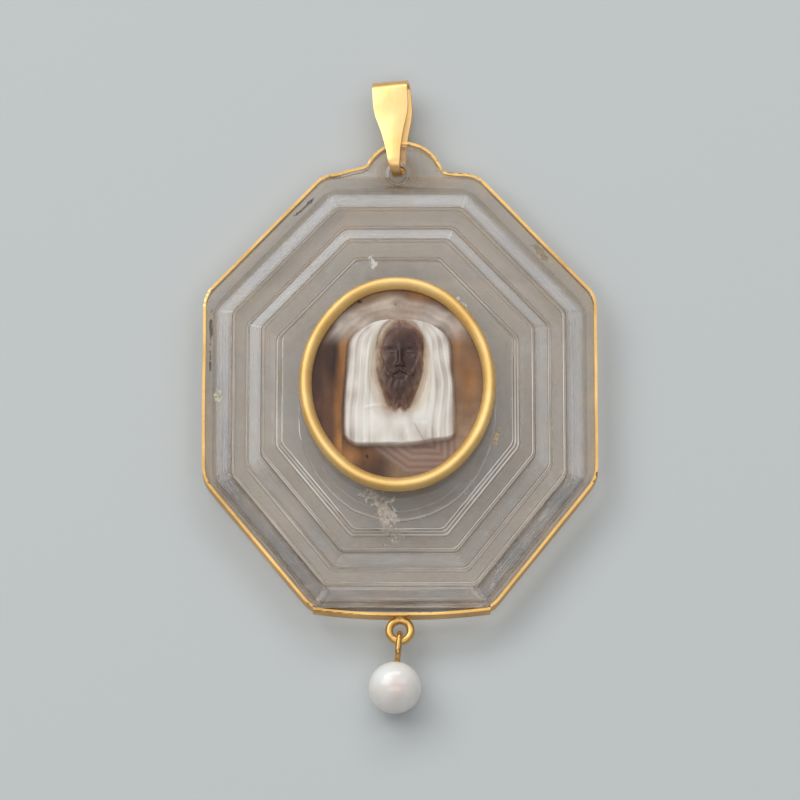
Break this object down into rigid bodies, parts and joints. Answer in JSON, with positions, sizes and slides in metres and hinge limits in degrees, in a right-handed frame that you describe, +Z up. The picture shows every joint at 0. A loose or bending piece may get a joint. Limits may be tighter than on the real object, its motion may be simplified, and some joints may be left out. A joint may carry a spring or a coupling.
{
  "type": "cameo pendant",
  "caption": "Eight-sided stepped rock crystal pendant with a gold rim and bail, an oval gold bezel that holds a veiled head cut in layered agate, and a pearl drop.",
  "frame": {"origin": "on the surface that it lies on, below the middle of the whole object", "axes": "+X to the right, +Y towards the bail, +Z up, out of the front of the cameo"},
  "size_m": [0.044, 0.0734, 0.0092],
  "materials": {
    "rock_crystal": "polished, stepped facets",
    "rim_gold": "worn gold, darker in the corners",
    "bezel_gold": "satin yellow gold",
    "agate": "polished layered agate, white over brown",
    "bail_gold": "satin yellow gold",
    "nacre": "pearl lustre"
  },
  "bodies": {
    "pendant": {"crystal": "rock_crystal", "rim_band": "rim_gold", "bezel": "bezel_gold", "cameo": "agate", "eye_pin": "rim_gold", "pearl": "nacre"},
    "bail": {"bail": "bail_gold"}
  },
  "joints": [
    {"name": "bail_swing", "type": "hinge", "parent": "pendant", "child": "bail", "pos_m": [-0.00025, 0.02572, 0.0029], "axis": [0, 0, 1], "range_deg": [-75, 65]}
  ]
}
